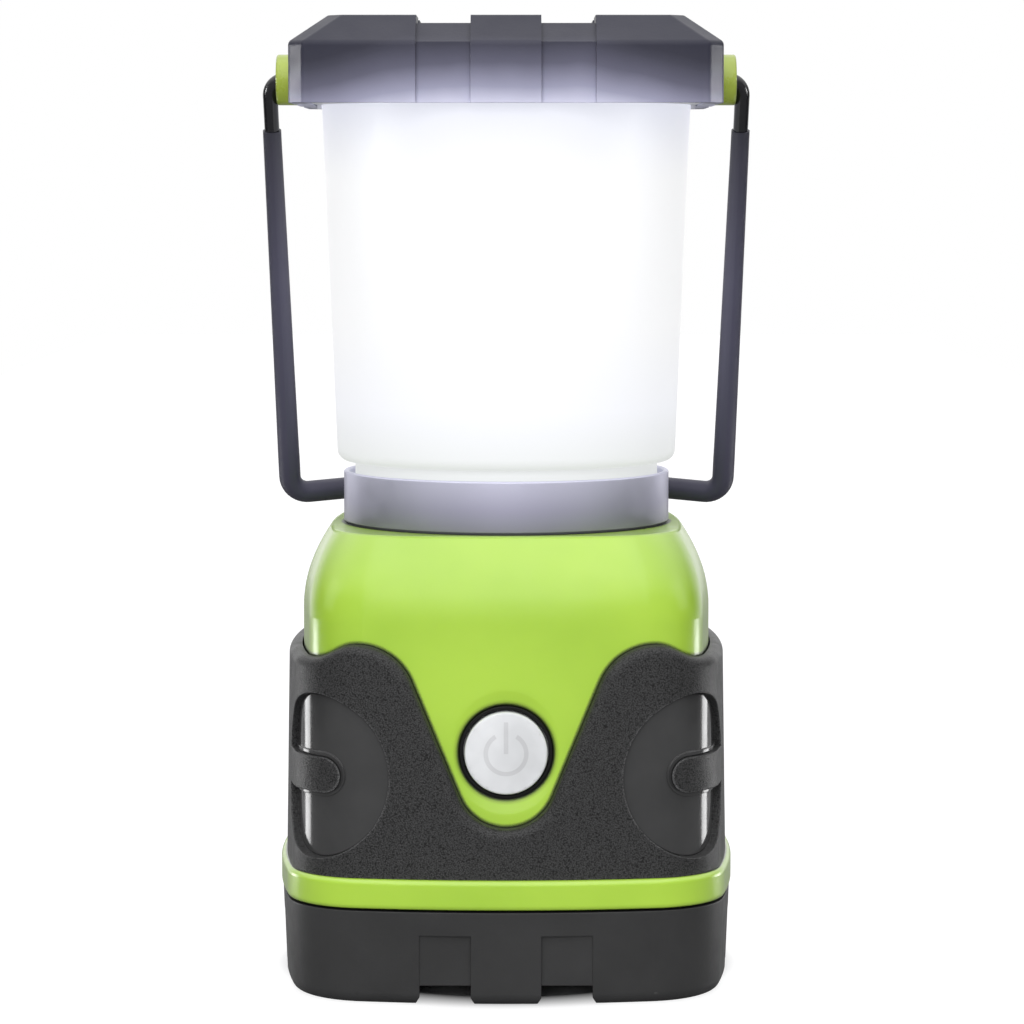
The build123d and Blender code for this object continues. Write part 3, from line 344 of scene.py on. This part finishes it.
# Painted shade: the green darkens towards the ring of the button.
green_painted_ring_shade = spread(
    green_tree,
    ring_distance,
    low=ring_painted_shade,
    high=1.0,
    start=ring_radius,
    stop=ring_radius + ring_painted_shade_reach,
)
green_tint_with_painted_shade = scaled(green_tree, scaled(green_tree, green_tint, green_painted_seam_shade), green_painted_ring_shade)
green_tree.links.new(green_tint_with_painted_shade, green_shader.inputs["Base Color"])
drifting_sheen(green_tree, green_shader, low=0.30, high=0.40, detail=4)
green_shader.inputs["Specular IOR Level"].default_value = 0.6
green_shader.inputs["Coat Weight"].default_value = 0.9
green_shader.inputs["Coat Roughness"].default_value = 0.2
green_shader.inputs["Subsurface Weight"].default_value = 0.06
green_shader.inputs["Subsurface Radius"].default_value = (0.6, 1.0, 0.2)
green_shader.inputs["Subsurface Scale"].default_value = 0.002
green_skin = noise(green_tree, size=0.0012, detail=3)
relief(green_tree, green_shader, green_skin, depth=0.00002, strength=0.5, edge=green_edge)
green_bump = green_shader.inputs["Normal"].links[0].from_node
green_bevel = green_bump.inputs["Normal"].links[0].from_node
green_rounding = spread(
    green_tree,
    ring_distance,
    low=dish_edge,
    high=green_edge,
    start=ring_radius + dish_start,
    stop=ring_radius + dish_stop,
)
green_tree.links.new(green_rounding, green_bevel.inputs["Radius"])
dress(green_plastic, "body_shell")

# ---------------------------------------------------------------- bumper
# A thick sleeve of black rubber, moulded with a sand-blasted grain and stretched over the
# body down to the band. Its edge dips to a deep V round the button, and its outer edges carry a
# painted highlight.
rubber_dark = (0.007, 0.007, 0.007)
rubber_light = (0.057, 0.057, 0.058)
rubber_relief = 0.00010
rubber_edge = 0.0004
grain_size = 0.00027
rim_highlight_reach = 0.0007           # how far in from an outer edge the painted highlight reaches
rim_highlight_gain = 3.0               # and how much paler the painted highlight makes the rubber there
rubber, rubber_tree, rubber_shader = new_material("grained_rubber")
pebbles = rubber_tree.nodes.new("ShaderNodeTexVoronoi")
pebbles.feature = "SMOOTH_F1"
pebbles.inputs["Scale"].default_value = 1 / grain_size
pebbles.inputs["Smoothness"].default_value = 0.6
rubber_tree.links.new(object_point(rubber_tree), pebbles.inputs["Vector"])
domes = spread(rubber_tree, pebbles.outputs["Distance"], low=1.0, high=0.0)
pits = noise(rubber_tree, size=0.7 * grain_size, detail=3, roughness=0.6)
grain = rubber_tree.nodes.new("ShaderNodeMix")
grain.inputs["Factor"].default_value = 0.5
rubber_tree.links.new(domes, grain.inputs["A"])
rubber_tree.links.new(pits, grain.inputs["B"])
rubber_tint = ramp(
    rubber_tree, grain.outputs["Result"], (0.32, rubber_dark), (0.70, rubber_light)
)
# Painted highlight: the rubber is made paler along its outer edges.
rubber_rim = rubber_tree.nodes.new("ShaderNodeAmbientOcclusion")
rubber_rim.inside = True
rubber_rim.samples = 8
rubber_rim.inputs["Distance"].default_value = rim_highlight_reach
rubber_painted_rim_highlight = spread(
    rubber_tree, rubber_rim.outputs["AO"], low=rim_highlight_gain, high=1.0, start=0.35, stop=0.75
)
rubber_tint_with_painted_highlight = scaled(rubber_tree, rubber_tint, rubber_painted_rim_highlight)
rubber_tree.links.new(rubber_tint_with_painted_highlight, rubber_shader.inputs["Base Color"])
drifting_sheen(rubber_tree, rubber_shader, low=0.32, high=0.42, size=0.006)
rubber_shader.inputs["Specular IOR Level"].default_value = 0.22
relief(rubber_tree, rubber_shader, grain.outputs["Result"], rubber_relief, edge=rubber_edge)
dress(rubber, "bumper")

# ---------------------------------------------------------------- corner panels
# Smooth black ABS panels, fixed to the body and seen through the four round windows of the
# bumper. They are glossier than the rubber and catch the light along their corner.
panel_black = (0.036, 0.036, 0.0365)


def moulded_plastic(name, colour, roughness, grain=0.0012, depth=0.00002, edge=0.0003):
    """Plain moulded plastic: a faint texture, and a tint and sheen that drift a little."""
    material, tree, shader = new_material(name)
    darker = [0.9 * part for part in colour]
    lighter = [1.1 * part for part in colour]
    tint = mottled(tree, darker, lighter, size=0.012)
    tree.links.new(tint, shader.inputs["Base Color"])
    drifting_sheen(tree, shader, roughness - 0.04, roughness + 0.05)
    relief(tree, shader, noise(tree, grain, detail=3), depth, strength=0.6, edge=edge)
    return material


def shader_of(material):
    """The Principled shader of a material."""
    return material.node_tree.nodes["Principled BSDF"]


panel_plastic = moulded_plastic("panel_abs", panel_black, roughness=0.16)
panel_shader = shader_of(panel_plastic)
panel_shader.inputs["Coat Weight"].default_value = 0.25
panel_shader.inputs["Coat Roughness"].default_value = 0.05
for row in ("front", "back"):
    dress(panel_plastic, f"corner_panel_{row}_left", f"corner_panel_{row}_right")

# ---------------------------------------------------------------- base cup and hanging hook
# The base cup is moulded in black ABS with a fine satin skin and twists off the body. Its
# hook is bent from bright steel wire and turns on a pin between two ears.
base_black = (0.0265, 0.0265, 0.027)
steel_white = (0.62, 0.62, 0.63)


def metal(name, colour, roughness, scratch=0.0008):
    """Bare metal with fine drawn lines and a roughness that drifts."""
    material, tree, shader = new_material(name)
    shader.inputs["Metallic"].default_value = 1.0
    darker = [0.85 * part for part in colour]
    tint = mottled(tree, darker, colour, size=0.003, detail=4, start=0.3, stop=0.7)
    tree.links.new(tint, shader.inputs["Base Color"])
    lines = noise(tree, scratch, detail=5, roughness=0.7, distortion=0.6)
    sheen = spread(tree, lines, roughness - 0.05, roughness + 0.12, start=0.3, stop=0.7)
    tree.links.new(sheen, shader.inputs["Roughness"])
    relief(tree, shader, lines, depth=0.00001, strength=0.5, edge=0.0001)
    return material


base_plastic = moulded_plastic("base_abs", base_black, 0.42, grain=0.0006, depth=0.00003)
dress(base_plastic, "base_cup")
steel = metal("bright_steel", steel_white, roughness=0.25)
dress(steel, "hanging_hook", "hook_pin")

# ---------------------------------------------------------------- cells and tray
# Three D cells in printed jackets stand between the spine and posts of a black tray. Nickel
# springs and discs join them, and two brass pins carry the supply up to the driver.
jacket_black = (0.020, 0.021, 0.024)
jacket_gold = (0.45, 0.30, 0.09)
cell_steel = (0.6, 0.6, 0.6)
brass_yellow = (0.72, 0.53, 0.24)


def height_share(tree, name):
    """Height on a piece, from 0 at its foot to 1 at its top."""
    low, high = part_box(name)
    place = tree.nodes.new("ShaderNodeSeparateXYZ")
    tree.links.new(object_point(tree), place.inputs[0])
    return spread(tree, place.outputs["Z"], low=0.0, high=1.0, start=low.z, stop=high.z)


jacket, jacket_tree, jacket_shader = new_material("cell_jacket")
jacket_print = ramp(
    jacket_tree,
    height_share(jacket_tree, "cell_1"),
    (0.0, jacket_black),
    (0.70, jacket_black),
    (0.71, jacket_gold),
    (0.955, jacket_gold),
    (0.97, cell_steel),
)
jacket_tree.links.new(jacket_print, jacket_shader.inputs["Base Color"])
jacket_shader.inputs["Roughness"].default_value = 0.25
jacket_film = noise(jacket_tree, size=0.002, detail=2)
relief(jacket_tree, jacket_shader, jacket_film, depth=0.00002, strength=0.5, edge=0.0003)
dress(jacket, "cell_1", "cell_2", "cell_3")
dress(base_plastic, "battery_tray", "tray_lid")
dress(steel, "cell_contacts", "cell_springs")
brass = metal("plain_brass", brass_yellow, roughness=0.22)
dress(brass, "supply_pins")

# ---------------------------------------------------------------- driver and light
# A round green board with the driver parts hangs on three standoffs. Above it a cast
# aluminium heat sink carries a white board with rings of yellow LED chips.
board_green = (0.016, 0.120, 0.045)
board_white = (0.78, 0.78, 0.77)
component_black = (0.025, 0.025, 0.027)
aluminium_grey = (0.78, 0.78, 0.79)
phosphor_yellow = (0.85, 0.66, 0.12)
board_plastic = moulded_plastic("circuit_board", board_green, roughness=0.35)
shader_of(board_plastic).inputs["Coat Weight"].default_value = 0.4
dress(board_plastic, "driver_board", "switch_board")
component_plastic = moulded_plastic("component_black", component_black, roughness=0.4)
dress(component_plastic, "driver_components")
dress(steel, "driver_screws")
aluminium = metal("cast_aluminium", aluminium_grey, roughness=0.38, scratch=0.0005)
dress(aluminium, "heat_sink")
led_board_plastic = moulded_plastic("white_board", board_white, roughness=0.4)
dress(led_board_plastic, "led_board")
phosphor = moulded_plastic("led_phosphor", phosphor_yellow, roughness=0.3)
phosphor_shader = shader_of(phosphor)
phosphor_shader.inputs["Emission Color"].default_value = (1.0, 0.95, 0.85, 1)
phosphor_shader.inputs["Emission Strength"].default_value = 4.0
dress(phosphor, "led_chips")
dress(brass, "led_leads")

# ---------------------------------------------------------------- push button and switch
# The domed button is moulded in frosted white plastic with the power symbol inlaid in grey.
# It sits in a black ring, and its stem presses a tact switch on a small board behind it.
button_white = (0.68, 0.69, 0.705)
symbol_grey = (0.575, 0.58, 0.595)
ring_black = (0.005, 0.005, 0.005)
rim_start = 0.0074           # distance from the middle of the cap where its turned edge begins
rim_stop = 0.0076


def frosted_plastic(name, colour, roughness):
    """Moulded plastic with a very fine frost and no rounding at its edges."""
    return moulded_plastic(name, colour, roughness, grain=0.0004, depth=0.00001, edge=0.0)


button_plastic = frosted_plastic("button_white", button_white, roughness=0.38)
button_shader = shader_of(button_plastic)
button_shader.inputs["Subsurface Weight"].default_value = 0.2
button_shader.inputs["Subsurface Radius"].default_value = (1.0, 1.0, 1.0)
button_shader.inputs["Subsurface Scale"].default_value = 0.001

# The turned edge of the cap is shaded by its small facets themselves, which keeps it free of
# specks, and the dome inside it is shaded smooth.
button_tree = button_plastic.node_tree
button_low, button_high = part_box("button_cap")
button_distance = distance_from(button_tree, (button_low + button_high) / 2)
rim_share = spread(
    button_tree, button_distance, low=0.0, high=1.0, start=rim_start, stop=rim_stop
)
button_faces = button_tree.nodes.new("ShaderNodeNewGeometry")
button_normal = button_tree.nodes.new("ShaderNodeMix")
button_normal.data_type = "VECTOR"
vector_a, vector_b = button_normal.inputs[4:6]
vector_result = button_normal.outputs[1]
button_tree.links.new(rim_share, button_normal.inputs["Factor"])
button_tree.links.new(button_faces.outputs["Normal"], vector_a)
button_tree.links.new(button_faces.outputs["True Normal"], vector_b)
button_bump = button_shader.inputs["Normal"].links[0].from_node
button_tree.links.new(vector_result, button_bump.inputs["Normal"])
dress(button_plastic, "button_cap")
dress(frosted_plastic("symbol_grey", symbol_grey, roughness=0.4), "power_symbol")
ring_plastic = moulded_plastic("bezel_black", ring_black, roughness=0.42)
shader_of(ring_plastic).inputs["Specular IOR Level"].default_value = 0.25
dress(ring_plastic, "button_bezel")
dress(component_plastic, "switch_plunger")
dress(steel, "tact_switch", "switch_screws")
dress(brass, "switch_leads")

# ---------------------------------------------------------------- collar and seal
# The collar is moulded in silver-lavender plastic with a satin lacquer and screwed to the body
# from inside; painted light from the globe makes it dark at its foot and pale towards its rim. A
# soft ring seals the foot of the globe.
collar_foot = (0.28, 0.28, 0.33)
collar_middle = (0.45, 0.443, 0.57)
collar_rim = (0.73, 0.725, 0.89)
collar_lacquer, collar_tree, collar_shader = new_material("collar_lacquer")
# Painted light and shade: dark at the foot, pale at the rim, standing in for the globe's glow.
collar_tint_with_painted_glow = ramp(
    collar_tree,
    height_share(collar_tree, "collar"),
    (0.0, collar_foot),
    (0.45, collar_middle),
    (1.0, collar_rim),
)
collar_tree.links.new(collar_tint_with_painted_glow, collar_shader.inputs["Base Color"])
collar_shader.inputs["Metallic"].default_value = 0.6
drifting_sheen(collar_tree, collar_shader, low=0.30, high=0.38, size=0.003, detail=4)
collar_flakes = noise(collar_tree, size=0.0003, detail=2)
relief(collar_tree, collar_shader, collar_flakes, depth=0.00001, strength=0.6, edge=0.0002)
dress(collar_lacquer, "collar")
dress(steel, "collar_screws")
dress(rubber, "globe_seal")

# ---------------------------------------------------------------- globe
# A blown globe of frosted white plastic, lit from inside at one strength. Its glow is dimmer and
# bluer under the cap, and dimmer at its foot, where it carries a painted greenish reflection of
# the body.
globe_white = (1.0, 1.0, 1.0)
globe_strength = 0.72
globe_frost, globe_tree, globe_shader = new_material("frosted_globe")
# Painted reflection: the foot of the glow is tinted by the green body below it.
globe_glow_with_painted_reflection = ramp(
    globe_tree,
    height_share(globe_tree, "globe"),
    (0.00, (0.62, 0.65, 0.58)),
    (0.12, (0.80, 0.82, 0.80)),
    (0.25, (0.94, 0.95, 0.99)),
    (0.45, globe_white),
    (0.80, globe_white),
    (1.00, (0.84, 0.86, 0.98)),
)
globe_tree.links.new(globe_glow_with_painted_reflection, globe_shader.inputs["Emission Color"])
globe_shader.inputs["Emission Strength"].default_value = globe_strength
globe_shader.inputs["Base Color"].default_value = (0.30, 0.305, 0.32, 1)
globe_shader.inputs["Specular IOR Level"].default_value = 0.15
drifting_sheen(globe_tree, globe_shader, low=0.42, high=0.52, size=0.006)
globe_haze = noise(globe_tree, size=0.0004, detail=2)
relief(globe_tree, globe_shader, globe_haze, depth=0.00001, strength=0.5)
dress(globe_frost, "globe")

# ---------------------------------------------------------------- cap
# The square cap is moulded in dark grey plastic with a satin skin; painted light from the globe
# rises pale up its skirt and the tint darkens towards its top. A white plate closes it below and
# carries the white reflector cone.
cap_corner_start = 0.0440    # distance from the axis beyond which the painted glow reaches less far up
cap_corner_stop = 0.0556
cap_corner_drop = 0.0050     # and by how much
cap_mottle = 0.0006          # how far the edge of the painted glow wanders up and down
plate_white = (0.80, 0.80, 0.83)
cap_low, cap_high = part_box("cap_shell")
cap_plastic, cap_tree, cap_shader = new_material("cap_abs")
cap_place = cap_tree.nodes.new("ShaderNodeSeparateXYZ")
cap_tree.links.new(object_point(cap_tree), cap_place.inputs[0])
cap_across = cap_tree.nodes.new("ShaderNodeCombineXYZ")
cap_tree.links.new(cap_place.outputs["X"], cap_across.inputs["X"])
cap_tree.links.new(cap_place.outputs["Y"], cap_across.inputs["Y"])
cap_radius = cap_tree.nodes.new("ShaderNodeVectorMath")
cap_radius.operation = "LENGTH"
cap_tree.links.new(cap_across.outputs[0], cap_radius.inputs[0])
cap_painted_glow_corner = spread(
    cap_tree,
    cap_radius.outputs["Value"],
    low=0.0,
    high=cap_corner_drop,
    start=cap_corner_start,
    stop=cap_corner_stop,
)
cap_drift = spread(
    cap_tree,
    noise(cap_tree, size=0.02, detail=3),
    low=-cap_mottle,
    high=cap_mottle,
    start=0.3,
    stop=0.7,
)
cap_level = combined(cap_tree, "ADD", cap_place.outputs["Z"], cap_drift)
cap_painted_glow_height = combined(cap_tree, "ADD", cap_level, cap_painted_glow_corner)
# Painted light: the tint is pale lavender at the foot of the skirt, where the globe's glow is
# painted, and darkens upwards.
cap_tint_with_painted_glow = ramp(
    cap_tree,
    spread(cap_tree, cap_painted_glow_height, low=0.0, high=1.0, start=cap_low.z, stop=cap_high.z),
    (0.00, (0.60, 0.60, 0.75)),
    (0.18, (0.305, 0.305, 0.415)),
    (0.45, (0.104, 0.103, 0.148)),
    (0.66, (0.048, 0.048, 0.070)),
    (0.76, (0.031, 0.031, 0.047)),
    (1.00, (0.023, 0.0235, 0.038)),
)
cap_tree.links.new(cap_tint_with_painted_glow, cap_shader.inputs["Base Color"])
cap_shader.inputs["Specular IOR Level"].default_value = 0.25
drifting_sheen(cap_tree, cap_shader, low=0.34, high=0.44, detail=4)
cap_skin = noise(cap_tree, size=0.0006, detail=3)
relief(cap_tree, cap_shader, cap_skin, depth=0.00003, strength=0.6, edge=0.0002)
dress(cap_plastic, "cap_shell")
plate_plastic = moulded_plastic("plate_white", plate_white, roughness=0.4)
dress(plate_plastic, "cap_plate", "cap_reflector")
dress(steel, "cap_screws")

# ---------------------------------------------------------------- bail and knobs
# The bail is steel wire in glossy black lacquer with a slate-grey rubber sleeve shrunk over
# it. The green knobs are fixed on the wire, whose ends turn in white saddles inside the cap
# and are held there by push nuts.
lacquer_black = (0.006, 0.006, 0.008)
knob_green = (0.33, 0.42, 0.045)
wire_lacquer = moulded_plastic("black_lacquer", lacquer_black, roughness=0.18)
wire_shader = shader_of(wire_lacquer)
wire_shader.inputs["Coat Weight"].default_value = 0.25
wire_shader.inputs["Coat Roughness"].default_value = 0.08
dress(wire_lacquer, "handle_wire")
sleeve, sleeve_tree, sleeve_shader = new_material("slate_sleeve")
# Painted light: the sleeve is paler and bluer along the middle of its height, standing in for the
# haze of the globe's glow, and darker towards both ends.
sleeve_tint_with_painted_glow = ramp(
    sleeve_tree,
    height_share(sleeve_tree, "handle_grip"),
    (0.00, (0.038, 0.036, 0.060)),
    (0.18, (0.055, 0.053, 0.084)),
    (0.60, (0.066, 0.064, 0.100)),
    (0.92, (0.040, 0.039, 0.058)),
    (1.00, (0.028, 0.028, 0.040)),
)
sleeve_tree.links.new(sleeve_tint_with_painted_glow, sleeve_shader.inputs["Base Color"])
drifting_sheen(sleeve_tree, sleeve_shader, low=0.42, high=0.54)
sleeve_skin = noise(sleeve_tree, size=0.0004, detail=3)
relief(sleeve_tree, sleeve_shader, sleeve_skin, depth=0.00003, strength=0.7)
dress(sleeve, "handle_grip")
knob_plastic = moulded_plastic("knob_abs", knob_green, roughness=0.28, edge=0.0004)
shader_of(knob_plastic).inputs["Coat Weight"].default_value = 0.5
dress(knob_plastic, "knob_left", "knob_right")
dress(plate_plastic, "saddle_left", "saddle_right")
dress(steel, "push_nuts")
